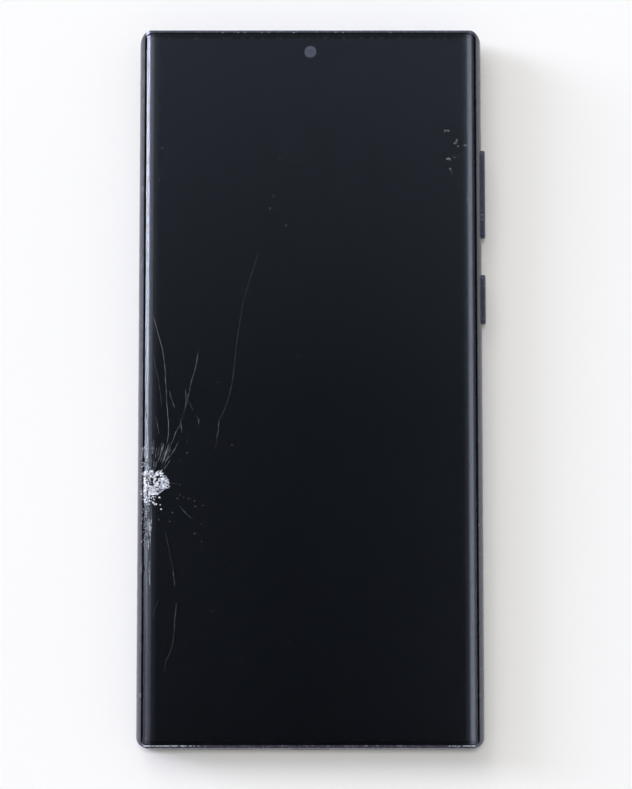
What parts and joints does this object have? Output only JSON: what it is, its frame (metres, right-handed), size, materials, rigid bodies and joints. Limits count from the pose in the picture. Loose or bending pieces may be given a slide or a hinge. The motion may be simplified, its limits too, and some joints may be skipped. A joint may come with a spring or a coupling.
{
  "type": "phone with a shattered screen",
  "caption": "Slab phone with glass curved down both long sides, its front glass crushed at the left edge and cracked across, with side keys, card tray and stowed stylus.",
  "frame": {"origin": "under the middle of the body, at the level of the rear camera rings' faces", "axes": "+X to the right facing the screen, +Y towards the top end, +Z out of the screen"},
  "size_m": [0.0787, 0.1632, 0.0101],
  "materials": {
    "front_glass": "polished, shattered at the left edge",
    "display": "dark, switched off",
    "frame_metal": "polished anodised, scuffed",
    "split_plastic": "satin",
    "rear_glass": "satin, painted behind",
    "lens_glass": "polished, dark",
    "camera_black": "matt",
    "flash": "milky",
    "graphite": "matt sheet",
    "glue": "adhesive film",
    "steel": "pressed",
    "copper": "bare",
    "chip": "moulded",
    "board": "solder mask",
    "black_plastic": "moulded",
    "battery_wrap": "film wrap",
    "flex": "polyimide",
    "card_plastic": "plain",
    "stylus_black": "soft touch"
  },
  "bodies": {
    "handset": {"cover_glass": "front_glass", "display_panel": "display", "backing_sheet": "graphite", "front_gasket": "glue", "mid_frame": "frame_metal", "antenna_splits": "split_plastic", "rear_glass": "rear_glass", "rear_gasket": "glue", "camera_ring_upper": "frame_metal", "camera_ring_middle": "frame_metal", "camera_ring_lower": "frame_metal", "camera_window_upper": "lens_glass", "camera_window_middle": "lens_glass", "camera_window_lower": "lens_glass", "camera_module_upper": "camera_black", "camera_module_middle": "camera_black", "camera_module_lower": "camera_black", "flash_lens": "flash", "front_camera": "camera_black", "earpiece": "steel", "vapour_chamber": "copper", "fingerprint_sensor": "chip", "main_board": "board", "processor": "chip", "board_shield": "steel", "memory_chip": "chip", "upper_cover": "black_plastic", "lower_cover": "black_plastic", "cover_screws": "steel", "battery": "battery_wrap", "battery_adhesive": "glue", "ferrite_sheet": "graphite", "charging_coil": "copper", "interconnect_flex": "flex", "display_flex": "flex", "sub_board": "board", "socket_shell": "steel", "socket_tongue": "black_plastic", "loudspeaker": "black_plastic", "speaker_mesh": "steel", "bottom_microphone": "steel", "vibration_motor": "steel", "card_socket": "steel", "key_bracket": "steel", "key_flex": "flex", "key_domes": "steel", "stylus_silo": "black_plastic"},
    "volume_rocker": {"volume_rocker": "frame_metal"},
    "power_key": {"power_key": "frame_metal"},
    "card_tray": {"card_tray": "frame_metal", "card": "card_plastic"},
    "stylus": {"stylus_barrel": "stylus_black", "stylus_tip": "stylus_black", "stylus_core": "copper", "stylus_board": "board"},
    "stylus_clicker": {"stylus_clicker": "frame_metal"},
    "stylus_button": {"stylus_button": "stylus_black"},
    "stylus_nib": {"stylus_nib": "camera_black"}
  },
  "joints": [
    {"name": "volume_rocker_tilt", "type": "hinge", "parent": "handset", "child": "volume_rocker", "pos_m": [0.0361, 0.04425, 0.00565], "axis": [0, 0, 1], "range_deg": [-1.2, 1.2], "stiffness_Nm_per_rad": 0.5},
    {"name": "power_key_press", "type": "slide", "parent": "handset", "child": "power_key", "axis": [-1, 0, 0], "range_m": [0, 0.00025], "stiffness_N_per_m": 4000},
    {"name": "card_tray_slide", "type": "slide", "parent": "handset", "child": "card_tray", "axis": [0, -1, 0], "range_m": [0, 0.024]},
    {"name": "stylus_slide", "type": "slide", "parent": "handset", "child": "stylus", "axis": [0, -1, 0], "range_m": [0, 0.108]},
    {"name": "clicker_slide", "type": "slide", "parent": "stylus", "child": "stylus_clicker", "axis": [0, -1, 0], "range_m": [0, 0.001]},
    {"name": "stylus_button_press", "type": "slide", "parent": "stylus", "child": "stylus_button", "axis": [0, 0, 1], "range_m": [0, 0.0002], "stiffness_N_per_m": 3000},
    {"name": "nib_press", "type": "slide", "parent": "stylus", "child": "stylus_nib", "axis": [0, -1, 0], "range_m": [0, 0.0003], "stiffness_N_per_m": 2000}
  ]
}
